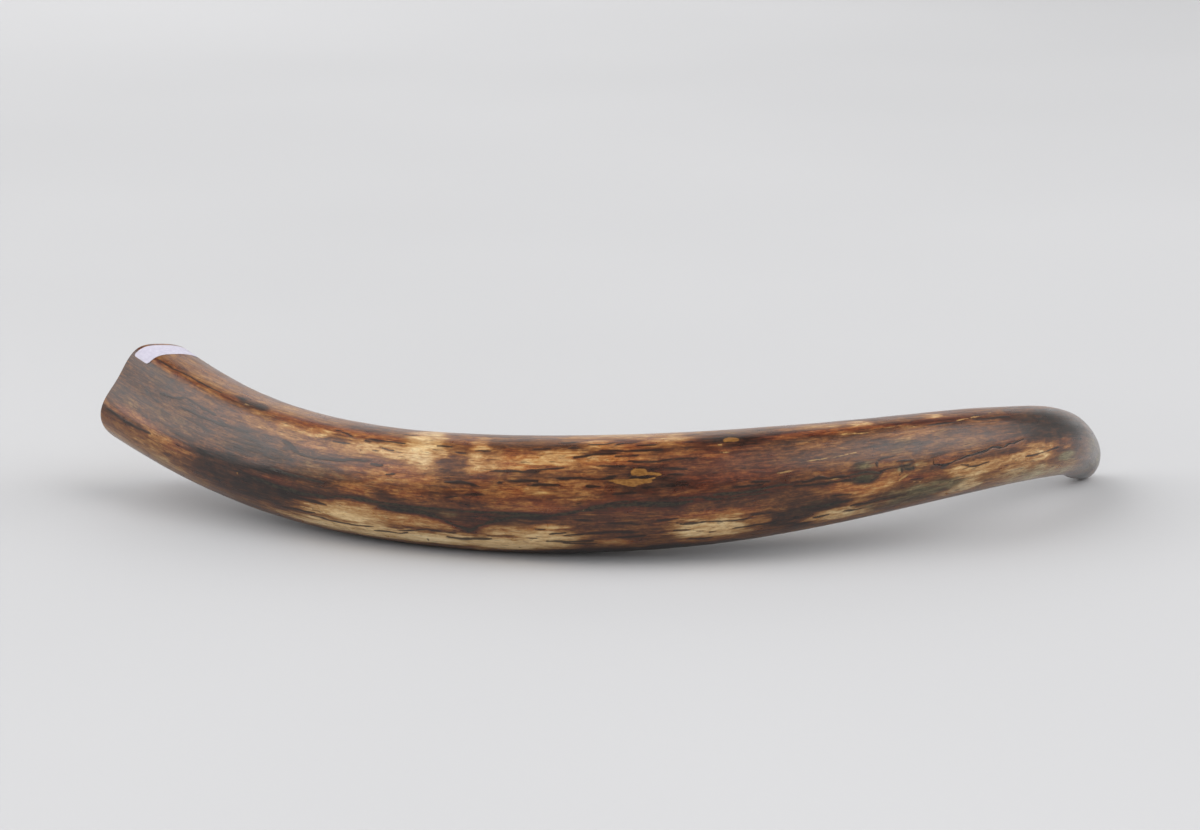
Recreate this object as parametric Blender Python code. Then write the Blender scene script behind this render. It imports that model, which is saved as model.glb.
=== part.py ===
"""A polished mammoth tusk, sawn off at its thick root end, with a small paper label near the cut.

The tusk is one solid piece. It lies on its belly and its tip, on the plane z = 0, with the origin
under the middle of its bounding box. Its centre line is set by the way it points, its heading and
pitch, at stations along its length, and its girth by a radius at the same stations.
Units are metres and degrees, +Z is up.
"""
import bpy
import bmesh
import numpy as np

# The tusk's centre line and girth.
TUSK_LENGTH = 0.771                       # along the centre line, from the sawn end to the tip
SAWN_CENTRE = (-0.3049, 0.0832, 0.06344)  # middle of the sawn end
STATIONS = np.array((
    # share of the length, heading from +X, pitch above level, radius
    (0.00, -44.0, -15.25, 0.03875),
    (0.13, -39.5, -7.25, 0.03625),
    (0.27, -24.0, -1.25, 0.03575),
    (0.42, -6.5, 1.75, 0.03675),
    (0.57, 7.0, 4.25, 0.03475),
    (0.71, 22.0, 3.00, 0.02925),
    (0.83, 46.0, -7.00, 0.02475),
    (0.92, 61.0, -19.75, 0.02100),
    (1.00, 62.0, -48.00, 0.01200),
))
TIP_ROUNDING = 0.030                      # length over which the blunt tip closes
CENTRE_LINE_STEPS = 1500                  # steps used to walk along the centre line
ROOT_RADIUS = STATIONS[0, 3]

# The cross-section. Angles run from 0 on the outer side of the curve to 90 on top.
# Each swelling (or hollow, where negative) is: its angle, its half-width, its share of the radius.
SHOULDER = (67.0, 15.0, 0.020)            # soft ridge that runs the whole length
SHOULDER_FADE = 0.150                     # it dies out over this length before the tip
ROOT_SWELLINGS = (
    (28.0, 27.0, -0.14),                  # flattened outer face
    (67.0, 16.0, 0.04),                   # stronger shoulder above that face
    (-14.0, 22.0, 0.05),                  # lower corner of that face
    (100.0, 26.0, -0.04),                 # flattened top
    (-62.0, 26.0, -0.05),                 # flattened underside
)
ROOT_FADE = 0.120                         # distance from the cut over which these die out

# The sawn end. The saw leaned a little, so its plane isn't quite square to the centre line.
SAW_LEAN_OUTER = -0.08                    # slope of the cut towards the outer side
SAW_LEAN_TOP = -0.02                      # slope of the cut towards the top
SAW_LEAN_FADE = 0.060                     # distance over which the rings turn square again
RIM_ROUNDING = 0.0008                     # polished edge round the cut

# The paper label, stuck over the shoulder and the top.
LABEL_WIDTH = 0.0150                      # along the tusk
LABEL_LENGTH = 0.044                      # round the tusk
LABEL_FROM_CUT = 0.003
LABEL_START_ANGLE = 58.5
LABEL_CORNER = 0.0020
LABEL_THICKNESS = 0.0003
LABEL_GAP = 0.0003                        # clearance between the paper and the ivory

# How finely the solids are faceted.
BODY_RINGS = 82
TIP_RINGS = 8
RIM_RINGS = 2
RING_POINTS = 40
LABEL_COLUMNS = 18
LABEL_CORNER_COLUMNS = 4
LABEL_ROWS = 4
SHARP_ANGLE = 35.0                        # edges that turn more than this are shaded sharp
NUDGE = 0.0001                            # small step used to find the surface's direction

# Finishes: linear red, green and blue, then roughness.
IVORY_FINISH = ((0.22, 0.10, 0.045), 0.30)
PAPER_FINISH = ((0.72, 0.70, 0.78), 0.60)


def spline(knots, values, at):
    """Natural cubic spline through the values at the knots."""
    gaps = np.diff(knots)
    slopes = np.diff(values) / gaps
    count = len(knots)
    system = np.eye(count)
    change = np.zeros(count)
    for i in range(1, count - 1):
        system[i, i - 1:i + 2] = gaps[i - 1], 2 * (gaps[i - 1] + gaps[i]), gaps[i]
        change[i] = 6 * (slopes[i] - slopes[i - 1])
    curving = np.linalg.solve(system, change)
    i = np.clip(np.searchsorted(knots, at) - 1, 0, count - 2)
    gap = gaps[i]
    after = at - knots[i]
    before = knots[i + 1] - at
    cubic = (curving[i] * before ** 3 + curving[i + 1] * after ** 3) / (6 * gap)
    straight = (values[i] * before + values[i + 1] * after) / gap
    return cubic + straight - gap * (curving[i] * before + curving[i + 1] * after) / 6


def centre_line():
    """Distances along the tusk, and the centre and direction at each."""
    share, heading, pitch = STATIONS[:, 0], STATIONS[:, 1], STATIONS[:, 2]
    steps = np.linspace(0, 1, CENTRE_LINE_STEPS + 1)
    turn = np.radians(spline(share, heading, steps))
    rise = np.radians(spline(share, pitch, steps))
    level = np.cos(rise)
    ahead = np.stack((level * np.cos(turn), level * np.sin(turn), np.sin(rise)), axis=-1)
    strides = (ahead[1:] + ahead[:-1]) / 2 * TUSK_LENGTH / CENTRE_LINE_STEPS
    centres = np.vstack((np.zeros(3), np.cumsum(strides, axis=0))) + SAWN_CENTRE
    return steps * TUSK_LENGTH, centres, ahead


ALONG, CENTRES, AHEAD = centre_line()


def look_up(table, along):
    """One row of the table (centres or directions) for each distance along the tusk."""
    return np.stack([np.interp(along, ALONG, table[:, axis]) for axis in range(3)], axis=-1)


def swelling(around, angle, half_width, height):
    """A rounded rise of the cross-section, centred on an angle."""
    off = (around - angle + 180) % 360 - 180
    return height * np.exp(-(off / half_width) ** 2)


def radius(along, around):
    """Distance from the centre line to the surface."""
    girth = spline(STATIONS[:, 0], STATIONS[:, 3], along / TUSK_LENGTH)
    closing = np.clip((along - TUSK_LENGTH + TIP_ROUNDING) / TIP_ROUNDING, 0, 1)
    girth = girth * np.sqrt(1 - closing ** 2)
    shape = 1 + np.clip((TUSK_LENGTH - along) / SHOULDER_FADE, 0, 1) * swelling(around, *SHOULDER)
    near_root = np.exp(-(along / ROOT_FADE) ** 2)
    for item in ROOT_SWELLINGS:
        shape = shape + near_root * swelling(around, *item)
    return girth * shape


def surface(along, around, inset=0.0):
    """Points on the tusk: along and around are arrays of metres and degrees."""
    along, around = np.broadcast_arrays(np.asarray(along, float), np.asarray(around, float))
    centre = look_up(CENTRES, along)
    ahead = look_up(AHEAD, along)
    ahead = ahead / np.linalg.norm(ahead, axis=-1, keepdims=True)
    outer = np.cross(ahead, (0.0, 0.0, 1.0))
    outer = outer / np.linalg.norm(outer, axis=-1, keepdims=True)
    top = np.cross(outer, ahead)
    reach = radius(along, around) - inset
    out = (reach * np.cos(np.radians(around)))[..., None]
    up = (reach * np.sin(np.radians(around)))[..., None]
    lean = np.exp(-(along / SAW_LEAN_FADE) ** 2)[..., None]
    slide = lean * (SAW_LEAN_OUTER * out + SAW_LEAN_TOP * up)
    return centre + out * outer + up * top + slide * ahead


def material(name, colour, roughness):
    """A plain Principled material; the colour is linear RGB."""
    made = bpy.data.materials.new(name)
    made.use_nodes = True
    shader = made.node_tree.nodes["Principled BSDF"]
    shader.inputs["Base Color"].default_value = (*colour, 1.0)
    shader.inputs["Roughness"].default_value = roughness
    shader.inputs["Metallic"].default_value = 0.0
    return made


def finish(name, bm, look):
    """Turn the bmesh into a named, smooth-shaded object with one material."""
    bmesh.ops.recalc_face_normals(bm, faces=bm.faces)
    mesh = bpy.data.meshes.new(name)
    bm.to_mesh(mesh)
    bm.free()
    mesh.materials.append(look)
    mesh.shade_smooth()
    mesh.set_sharp_from_angle(angle=np.radians(SHARP_ANGLE))
    made = bpy.data.objects.new(name, mesh)
    bpy.context.scene.collection.objects.link(made)
    return made


def bridge(bm, rings, closed):
    """Faces between rows of vertices; closed joins each row's last vertex to its first."""
    for near, far in zip(rings, rings[1:]):
        count = len(near)
        for i in range(count if closed else count - 1):
            j = (i + 1) % count
            bm.faces.new((near[i], near[j], far[j], far[i]))


def make_tusk():
    """The tusk: rings from the rounded rim of the cut to the tip, and a flat sawn face."""
    bm = bmesh.new()
    around = np.linspace(0, 360, RING_POINTS, endpoint=False)
    rings = []
    for bend in np.linspace(0, np.pi / 2, RIM_RINGS + 1)[:-1]:
        depth = RIM_ROUNDING * (1 - np.cos(bend))
        inset = RIM_ROUNDING * (1 - np.sin(bend))
        rings.append(surface(depth, around, inset))
    body_end = TUSK_LENGTH - TIP_ROUNDING
    for along in np.linspace(RIM_ROUNDING, body_end, BODY_RINGS):
        rings.append(surface(along, around))
    for bend in np.linspace(0, np.pi / 2, TIP_RINGS + 1)[1:-1]:
        rings.append(surface(body_end + TIP_ROUNDING * np.sin(bend), around))
    rings = [[bm.verts.new(point) for point in ring] for ring in rings]
    bridge(bm, rings, closed=True)
    bm.faces.new(rings[0])
    tip = bm.verts.new(surface(TUSK_LENGTH, 0.0))
    for i in range(RING_POINTS):
        bm.faces.new((rings[-1][i], rings[-1][(i + 1) % RING_POINTS], tip))
    return finish("tusk", bm, material("polished fossil ivory", *IVORY_FINISH))


def label_point(across, length, height):
    """A point over the tusk: across the label's width, along its length, and off the surface."""
    along = LABEL_FROM_CUT + LABEL_WIDTH / 2 + across
    around = LABEL_START_ANGLE + np.degrees(length / ROOT_RADIUS)
    point = surface(along, around)
    forward = surface(along + NUDGE, around) - point
    sideways = surface(along, around + np.degrees(NUDGE / ROOT_RADIUS)) - point
    outward = np.cross(forward, sideways)
    return point + height * outward / np.linalg.norm(outward)


def make_label():
    """The paper label: a thin strip with round corners that follows the tusk's surface."""
    corner = LABEL_CORNER * (1 - np.cos(np.linspace(0, np.pi / 2, LABEL_CORNER_COLUMNS)))
    straight = np.linspace(LABEL_CORNER, LABEL_LENGTH - LABEL_CORNER, LABEL_COLUMNS)
    columns = (*corner[:-1], *straight, *(LABEL_LENGTH - corner[:-1][::-1]))
    bm = bmesh.new()
    edges = []
    for height in (LABEL_GAP, LABEL_GAP + LABEL_THICKNESS):
        grid = []
        for length in columns:
            from_end = min(length, LABEL_LENGTH - length)
            short = max(LABEL_CORNER - from_end, 0.0)
            half = LABEL_WIDTH / 2 - LABEL_CORNER + np.sqrt(LABEL_CORNER ** 2 - short ** 2)
            row = np.linspace(-half, half, LABEL_ROWS + 1)
            grid.append([bm.verts.new(label_point(across, length, height)) for across in row])
        bridge(bm, grid, closed=False)
        edge = [column[0] for column in grid] + grid[-1][1:-1]
        edge += [column[-1] for column in reversed(grid)] + grid[0][-2:0:-1]
        edges.append(edge)
    bridge(bm, edges, closed=True)
    return finish("paper_label", bm, material("label paper", *PAPER_FINISH))


def main():
    for item in list(bpy.data.objects):
        bpy.data.objects.remove(item)
    make_tusk()
    make_label()


main()
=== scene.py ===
import math

import bmesh
import bpy
import mathutils
import numpy as np
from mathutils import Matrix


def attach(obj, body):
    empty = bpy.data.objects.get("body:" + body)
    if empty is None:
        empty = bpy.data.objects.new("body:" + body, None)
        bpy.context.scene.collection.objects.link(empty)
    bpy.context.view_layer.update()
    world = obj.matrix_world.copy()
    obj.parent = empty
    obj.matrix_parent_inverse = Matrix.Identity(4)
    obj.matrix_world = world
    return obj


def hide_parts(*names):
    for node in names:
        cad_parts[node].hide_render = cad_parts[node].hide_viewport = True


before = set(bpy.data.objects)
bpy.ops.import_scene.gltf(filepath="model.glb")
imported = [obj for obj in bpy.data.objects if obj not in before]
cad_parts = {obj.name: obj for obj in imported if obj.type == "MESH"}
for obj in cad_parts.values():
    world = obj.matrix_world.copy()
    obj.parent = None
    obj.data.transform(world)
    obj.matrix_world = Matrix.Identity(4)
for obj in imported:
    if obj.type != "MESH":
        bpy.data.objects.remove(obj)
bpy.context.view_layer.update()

MM = 1000.0                               # millimetres in a metre

# The tusk's form: the same named values as its solid.
TUSK_LENGTH = 0.771                       # along the centre line, from the sawn end to the tip
SAWN_CENTRE = (-0.3049, 0.0832, 0.06344)  # middle of the sawn end
STATIONS = np.array((
    # share of the length, heading from +X, pitch above level, radius
    (0.00, -44.0, -15.25, 0.03875),
    (0.13, -39.5, -7.25, 0.03625),
    (0.27, -24.0, -1.25, 0.03575),
    (0.42, -6.5, 1.75, 0.03675),
    (0.57, 7.0, 4.25, 0.03475),
    (0.71, 22.0, 3.00, 0.02925),
    (0.83, 46.0, -7.00, 0.02475),
    (0.92, 61.0, -19.75, 0.02100),
    (1.00, 62.0, -48.00, 0.01200),
))
TIP_ROUNDING = 0.030                      # length over which the blunt tip closes
CENTRE_LINE_STEPS = 1500
ROOT_RADIUS = STATIONS[0, 3]

# The cross-section. Angles run from 0 on the outer side of the curve to 90 on top.
# Each swelling, or hollow where negative: its angle, its half-width, its share of the radius.
SHOULDER = (67.0, 15.0, 0.020)            # soft ridge that runs the whole length
SHOULDER_FADE = 0.150                     # it dies out over this length before the tip
ROOT_SWELLINGS = (
    (28.0, 27.0, -0.14),                  # flattened outer face
    (67.0, 16.0, 0.04),                   # stronger shoulder above that face
    (-14.0, 22.0, 0.05),                  # lower corner of that face
    (100.0, 26.0, -0.04),                 # flattened top
    (-62.0, 26.0, -0.05),                 # flattened underside
)
ROOT_FADE = 0.120                         # distance from the cut over which these die out

# The sawn end.
SAW_LEAN_OUTER = -0.08                    # slope of the cut towards the outer side
SAW_LEAN_TOP = -0.02                      # slope of the cut towards the top
SAW_LEAN_FADE = 0.060                     # distance over which the rings turn square again
RIM_ROUNDING = 0.0008                     # polished edge round the cut
BARK_EDGE = (3.4, 2.4)                    # mm in from the rim: where the bark starts, and is full
GROWTH_RINGS = ((2.1, 0.045), (0.8, 0.018))    # mm between them, and their strength in the tone
CROSSED_LINES = 58.0                      # round the tusk
DRYING_CRACKS = 11

# The paper label, stuck over the shoulder and the top.
LABEL_WIDTH = 0.0150                      # along the tusk
LABEL_LENGTH = 0.044                      # round the tusk
LABEL_FROM_CUT = 0.003
LABEL_START_ANGLE = 58.5
LABEL_CORNER = 0.0020                     # its corners' radius
LABEL_LIFT = 0.00022                      # one corner has come loose and lifts by this much
LABEL_LOOSE = 0.005                       # size of that loose corner
PAPER_THICKNESS = 0.00012                 # the real paper; its solid is thicker
PAPER_CLEARANCE = 0.00006                 # the film of glue under it

# How fine the shown meshes are.
BODY_RINGS = 392
TIP_RINGS = 22
RIM_RINGS = 4
FACE_RINGS = 9                            # rings of the sawn face, from the rim inwards
OUTER_SPAN = (-72.0, 111.6)               # degrees: the side with the fine markings
OUTER_STEP = 1.2                          # degrees between points there
INNER_STEP = 2.25                         # degrees between points elsewhere
LABEL_COLUMNS = 68
LABEL_ROWS = 26
LABEL_CORNER_COLUMNS = 8
LABEL_SHARP_ANGLE = 50                    # its edges that turn more than this are shaded sharp
NUDGE = 0.0001                            # small step used to find the surface's direction

# The camera.
CAMERA_AT = (-0.0034, -1.9844, 0.5848)
CAMERA_DOWN = 14.529                      # degrees below level
CAMERA_LENS = 95.238
SENSOR_WIDTH = 36.0

# The studio: its plain brightness, a paler band low on its walls, and its soft bright sides.
ROOM_TINT = "#fffffe"
ROOM_BRIGHTNESS = 0.13
WALL_BRIGHTNESS = 0.20                    # added below the height where the band starts to fade
WALL_FADE = (0.14, 0.34)                  # sines of the heights where it starts to fade and ends
SOFT_SIDES = (
    # direction, degrees to where it starts to fade and to where it ends, added brightness
    ((-0.79, 0.00, 0.61), 10, 38, 2.7),
    ((-0.64, -0.30, 0.71), 8, 34, 0.9),
    ((0.72, -0.16, 0.67), 10, 38, 2.3),
    ((0.50, -0.45, 0.74), 8, 32, 0.8),
    ((0.85, -0.20, 0.35), 10, 60, 0.6),
    ((0.00, 1.00, 0.05), 20, 55, 0.62),
    ((-0.50, 0.80, 0.40), 10, 40, 0.30),
)
FLOOR_HALF = 9.0                          # half the side of the square floor
CARD_SHADES = ("#acacae", "#b0b0b2")
FILLS = (
    # name, place, the point it faces, size in metres, power in watts
    ("front fill", (0.0, -2.7, 1.3), (0.0, 0.0, 0.0), 1.6, 27.0),
    ("top fill", (0.0, 0.4, 2.8), (0.0, 0.0, 0.0), 3.0, 14.0),
    ("back fill", (-0.8, 3.2, 1.3), (0.2, 0.0, 0.0), 2.0, 17.0),
    ("right fill", (2.6, 0.3, 1.0), (0.2, 0.0, 0.0), 1.2, 24.0),
    ("left fill", (-2.4, -0.2, 0.8), (-0.1, 0.0, 0.0), 1.2, 14.0),
)

# Markings on the surface. Places are millimetres from the cut and degrees round the tusk.
# Areas, painted in order: place, half-length (mm), half-height (degrees), tone, warmth.
# Tone runs from 0, charcoal, to 100, cream; warmth from -100, grey-green, to 100, red-orange.
PLAIN_TONE, PLAIN_WARMTH = 34, 15         # under all the areas
AREAS = (
    # near the cut
    (40, 28, 60, 34, 28, -12), (90, 88, 110, 20, 46, 15), (40, -32, 55, 16, 50, -10),
    (145, 54, 26, 9, 42, 20), (88, 43, 8, 3, 32, 20), (45, 67, 50, 5, 38, 55), (35, 4, 32, 5, 42, 50),
    (68, -3, 24, 7, 53, 40), (128, 32, 18, 12, 19, -10), (148, 70, 30, 6, 39, 75), (109, 69, 8, 5, 27, 10),
    (99, 74, 9, 7, 7, 0), (117, 74, 8, 6, 14, 0), (90, 68, 10, 5, 36, 60), (152, 60, 14, 5, 53, 35),
    (130, -10, 48, 20, 13, 25), (108, 4, 26, 8, 11, 30), (152, 9, 26, 4, 5, 30), (155, 2, 20, 3, 30, 50),
    (175, -28, 14, 6, 42, 10),
    # the first pale patches
    (200, 69, 36, 6, 46, 75), (170, 59, 9, 5, 63, 30), (205, 52, 17, 10, 57, 25), (178, 47, 16, 5, 50, 25),
    (215, 88, 34, 13, 34, 5), (185, 20, 34, 15, 30, -20), (228, 28, 30, 13, 46, 55),
    (208, 9, 12, 5, 48, 60), (228, 7, 14, 6, 14, 20), (240, 14, 16, 8, 43, 55), (243, 72, 13, 36, 66, -5),
    (268, 76, 12, 18, 44, 35), (267, 30, 9, 30, 32, 20), (270, 58, 6, 8, 43, 20), (281, 46, 6, 13, 65, 25),
    (280, 71, 7, 13, 61, 35), (305, 80, 22, 14, 36, -10), (286, 22, 10, 14, 33, 50),
    (305, 50, 20, 11, 50, 60), (318, 52, 9, 6, 68, 30), (330, 48, 9, 4, 62, 35), (333, 56, 14, 6, 63, 30),
    (349, 47, 15, 5, 54, 45), (301, 41, 12, 4, 54, 40), (226, 54, 12, 8, 62, 15), (258, 55, 5, 7, 58, 15),
    (150, 25, 13, 7, 17, -10), (305, 12, 34, 16, 42, 45), (318, 17, 9, 3, 51, 30),
    (342, 22, 16, 16, 45, 40), (277, 3, 10, 4, 25, 30), (31, -11, 18, 5, 45, 5),
    # below them
    (202, -19, 30, 12, 73, 10), (246, -19, 28, 8, 58, 42), (215, -44, 62, 13, 77, 15),
    (290, -44, 42, 13, 78, 15), (305, -24, 24, 5, 67, 25), (325, -17, 12, 3, 68, 35),
    (247, -6, 24, 5, 20, -55), (302, -7, 14, 4, 13, -30), (266, -8, 9, 4, 37, -60),
    (280, -11, 8, 8, 24, 40), (278, -60, 5, 10, 61, 30), (324, -33, 20, 10, 75, 10),
    # The next area darkens the underside from 152 to 272 mm: partly the ivory's own colour, partly painted
    # shade where the tusk turns down to the floor.
    (212, -68, 60, 9, 42, 0),
    # the middle
    (352, 72, 9, 9, 62, 40), (393, 76, 13, 11, 60, 25), (370, 66, 14, 8, 47, 60), (375, 92, 40, 10, 58, 10),
    (365, 50, 24, 7, 47, 60), (430, 36, 46, 26, 29, 60), (365, 10, 18, 9, 33, 40), (425, 25, 28, 4, 26, 95),
    (375, 31, 17, 9, 19, 40), (384, 21, 17, 6, 17, 30), (424, 50, 8, 3, 48, 60), (370, -22, 28, 18, 30, 30),
    (362, -39, 10, 4, 52, 50), (418, -12, 28, 5, 42, 75), (418, -31, 26, 16, 75, -5),
    # The first area here darkens the underside from 310 to 430 mm almost to charcoal: partly a real dark
    # stain, partly painted shade where the tusk rests on the floor.
    (370, -62, 60, 10, 5, 10), (465, -30, 15, 26, 21, 0), (442, 86, 30, 9, 36, -20),
    (450, 68, 34, 7, 9, 80), (470, 66, 8, 4, 31, 80), (433, 69, 13, 9, 13, 30), (470, 83, 5, 5, 45, 50),
    (403, 52, 11, 4, 42, 55),
    # towards the thin end
    (500, 68, 40, 6, 42, 85), (516, 81, 7, 11, 68, 25), (495, 88, 20, 10, 50, 15),
    (535, 45, 70, 18, 33, -10), (548, 54, 18, 6, 48, 15), (562, 80, 7, 10, 75, 40),
    (545, 80, 18, 12, 36, 10), (560, 68, 34, 5, 24, 95), (508, -6, 20, 12, 54, 70), (523, 3, 6, 6, 51, 40),
    (534, 1, 3, 4, 38, 20), (545, -4, 12, 8, 36, 70), (482, -20, 15, 9, 23, -40),
    (494, -38, 20, 10, 71, -10), (540, -30, 32, 16, 34, -55), (561, 13, 9, 7, 44, 35),
    (582, -10, 22, 11, 62, 5), (580, -32, 12, 13, 66, -20), (560, -24, 14, 8, 36, -70),
    (625, -4, 27, 12, 64, -5), (638, 8, 16, 7, 61, 5), (485, 52, 15, 6, 42, 10), (568, -41, 10, 7, 60, -30),
    (606, -26, 18, 10, 44, -10), (510, 5, 8, 5, 31, -90), (511, 19, 7, 6, 32, -60),
    (535, 11, 5, 5, 55, -80), (525, 22, 5, 4, 33, 55), (600, 8, 18, 5, 28, 10),
    # small areas within all of these
    (444, -26, 9, 9, 53, 25), (250, -46, 18, 7, 86, 10), (175, 63, 9, 4, 60, 35), (203, -9, 10, 3, 52, 30),
    (203, 4, 10, 4, 43, 45), (122, 20, 24, 5, 19, -15), (555, 2, 11, 4, 24, 30), (620, -20, 12, 6, 63, -5),
    (502, -24, 9, 4, 50, -10), (318, 41, 19, 3, 55, 45), (289, 41, 7, 5, 60, 30), (228, 48, 9, 5, 68, 15),
    (400, -44, 12, 4, 46, 30), (412, -49, 14, 4, 46, 20), (388, 4, 13, 6, 22, 30), (320, 4, 10, 4, 45, 70),
    (346, 28, 8, 4, 38, 40), (304, 18, 9, 4, 40, 60), (360, 53, 9, 4, 50, 50), (243, 51, 9, 8, 70, -15),
    (535, 39, 15, 7, 24, -20), (548, 20, 10, 4, 30, 0), (28, 57, 15, 5, 22, -10), (147, 37, 11, 4, 26, 0),
    (167, 31, 10, 4, 29, -10), (201, -24, 12, 5, 82, 10), (417, 36, 12, 5, 24, 60), (375, 54, 9, 3, 42, 50),
    (387, 15, 10, 4, 22, 50), (303, 42, 9, 4, 62, 35), (517, -32, 9, 4, 44, -40), (233, 16, 8, 4, 37, 50),
    (247, 24, 9, 4, 54, 60), (290, -20, 8, 3, 50, 25), (668, -12, 13, 9, 42, -80),
    # the thin end
    (655, 44, 38, 30, 12, 0), (684, 30, 14, 14, 5, -20), (661, 12, 7, 4, 44, 25), (664, 3, 6, 3, 49, 25),
    # The second area here greys the front of the thin end: partly the ivory's own grey, partly a painted
    # grey sheen of the polish mirroring the pale floor.
    (650, -44, 50, 22, 58, -45), (730, 10, 34, 60, 29, -60), (745, -62, 16, 14, 5, -20),
)
# Dark lines and dashes: half-width (mm), then the places that they pass through.
DARK_LINES = (
    (0.8, (40, 41), (52, 44), (62, 48), (75, 48), (92, 45)), (0.8, (62, 38), (80, 38), (105, 39)),
    (0.8, (95, 42), (108, 40), (122, 41)), (1.3, (150, 44), (157, 40), (164, 35)),
    (0.7, (20, 69), (36, 69), (50, 71), (62, 71), (85, 71)), (0.8, (5, -3), (20, -4), (48, -2)),
    (1.0, (181, 69), (186, 69)), (1.0, (187, 67), (196, 63)), (1.3, (208, 63), (218, 63)),
    (0.8, (218, 63), (233, 63)), (0.8, (204, 61), (209, 60)), (0.9, (217, 54), (227, 53)),
    (0.8, (226, 78), (238, 80)), (0.8, (184, 54), (197, 54)), (0.8, (212, 50), (216, 50)),
    (1.0, (204, 49), (206, 47)), (1.0, (253, 64), (262, 64)), (0.8, (277, 60), (286, 60)),
    (0.8, (284.5, 62), (285, 58)), (0.9, (178, 33), (198, 35), (206, 38), (215, 38)),
    (0.8, (215, 35), (222, 35)), (0.8, (160, 33), (178, 32)), (0.8, (226, 27), (232, 28)),
    (0.8, (262, 24), (272, 25), (283, 22)), (1.0, (274, 13), (287, 14)), (0.8, (262, 8), (270, 12)),
    (0.8, (288, 37), (298, 38), (308, 37), (320, 39)), (0.9, (293, 26), (296, 26)),
    (1.0, (298, 28), (308, 29), (318, 28)), (0.9, (312, 24), (320, 25), (329, 25)),
    (0.8, (265, 57), (272, 56)), (0.8, (310, 38), (320, 40), (333, 42)),
    (0.8, (327, 31), (340, 31), (352, 30), (364, 32)), (1.0, (337, 53), (350, 56), (363, 57)),
    (0.8, (345, 70), (356, 71), (363, 74)), (0.8, (362, 69), (369, 72), (377, 72)),
    (0.8, (375, 67), (388, 67)), (0.8, (312, 64), (323, 64)), (0.9, (333, 66), (341, 66)),
    (0.8, (326, 74), (340, 76)), (0.8, (352, 61), (372, 60), (392, 60)), (0.8, (362, 54), (377, 54)),
    (0.8, (370, 47), (385, 46), (397, 48), (411, 48)), (0.8, (352, 43), (369, 42)),
    (1.3, (345, 23), (353, 22)), (0.9, (370, 33), (373, 31), (383, 30)), (0.8, (360, 15), (373, 15)),
    (0.8, (392, 32), (402, 32)), (0.8, (391, 38), (404, 37)), (1.0, (339, 7), (342, 7)),
    (0.8, (355, -15), (367, -15), (376, -17)), (0.8, (330, -28), (350, -26), (360, -25), (374, -26)),
    (0.8, (322, -27), (333, -24)), (0.8, (313, -20), (322, -21)), (0.8, (338, -10), (347, -10)),
    (1.3, (321, -37), (347, -37)), (0.8, (309, -33), (315, -33)), (0.8, (330, -40), (350, -42)),
    (0.8, (360, -33), (379, -32)), (0.9, (175, -34), (200, -36), (217, -34)),
    (0.9, (215, -40), (232, -40), (238, -36)), (0.8, (232, -35), (242, -32), (250, -28), (258, -29)),
    (0.7, (253, -31), (267, -30)), (1.7, (262, -38), (270, -39), (280, -37), (289, -36)),
    (0.7, (285, -31), (303, -30)), (0.8, (303, -46), (303, -50)), (0.8, (249, -44), (248, -49)),
    (1.0, (155, -32), (165, -29), (178, -29)), (1.0, (155, -14), (175, -13), (188, -14)),
    (0.8, (397, -17), (400, -20), (412, -20)), (0.8, (412, -19), (418, -21), (432, -22), (440, -21)),
    (0.8, (394, -28), (405, -28)), (0.9, (427, -34), (440, -33), (455, -31)),
    (1.4, (403, -42), (410, -45), (417, -45)), (0.8, (414, -35), (419, -35)), (0.8, (409, -32), (413, -32)),
    (0.8, (440, -17), (452, -18)), (0.8, (385, -13), (397, -13)), (0.8, (440, 18), (452, 17)),
    (0.8, (430, 14), (448, 14)), (0.8, (465, 12), (475, 11), (480, 14), (486, 12), (500, 11)),
    (0.8, (465, 8), (482, 7), (500, 7)), (0.8, (518, 16), (519, 24), (523, 26), (530, 26)),
    (0.8, (518, 10), (524, 12), (540, 13)), (0.8, (530, 18), (541, 18)),
    (0.8, (531, 13), (532, 6), (530, 2)), (1.4, (478, -35), (487, -35)), (1.4, (496, -34), (508, -35)),
    (0.8, (499, -27), (509, -27)), (0.8, (488, -9), (501, -11)), (0.8, (538, -6), (546, -7)),
    (0.8, (622, -4), (632, -3), (642, 0), (655, 4)), (0.8, (575, -2), (582, -4), (592, -1)),
    (0.8, (571, 1), (577, -1)), (1.0, (588, 62), (600, 60), (618, 61)), (0.8, (557, 61), (575, 61)),
)
# Thick grey-green veins of stained ivory, in the same form.
VEINS = (
    (1.8, (135, -4), (155, -6), (175, -7), (192, -6)), (1.3, (190, -5), (205, -2), (225, -3)),
    (1.2, (222, -4), (230, -8), (240, -9), (252, -10), (260, -13), (268, -19), (275, -26)),
    (1.0, (225, -2), (240, -3), (255, -3), (270, -3), (285, -3), (300, -4), (320, -4)),
    (1.3, (275, -27), (280, -22), (286, -16), (291, -13), (298, -10), (306, -6), (318, -4)),
    (2.3, (289, -8), (293, -10), (297, -13)), (1.5, (234, -6), (246, -7), (257, -10)),
    (2.1, (271, -20), (275, -23), (278, -25)), (1.2, (310, -6), (325, -5), (335, -3), (342, 0)),
    (2.3, (342, 0), (350, 2), (360, 4), (375, 4), (390, 3), (400, 3), (407, 4)), (1.0, (356, 6), (368, 7)),
    (0.9, (398, 8), (405, 8), (412, 6), (422, 4), (432, 4)),
    (1.1, (407, 8), (425, 8), (437, 8), (446, 9), (456, 11), (466, 10)), (0.9, (425, 4), (452, 5)),
    (1.2, (500, 9), (504, 4), (512, 1), (517, 5), (519, 9)), (1.1, (500, 12), (510, 12), (519, 9)),
    (1.2, (532, 15), (534, 8), (540, 7), (540, 14)), (1.2, (505, -28), (520, -26), (535, -26)),
    (1.7, (470, -18), (484, -20), (500, -19)), (1.1, (148, 11), (160, 10), (186, 9)),
)
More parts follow.
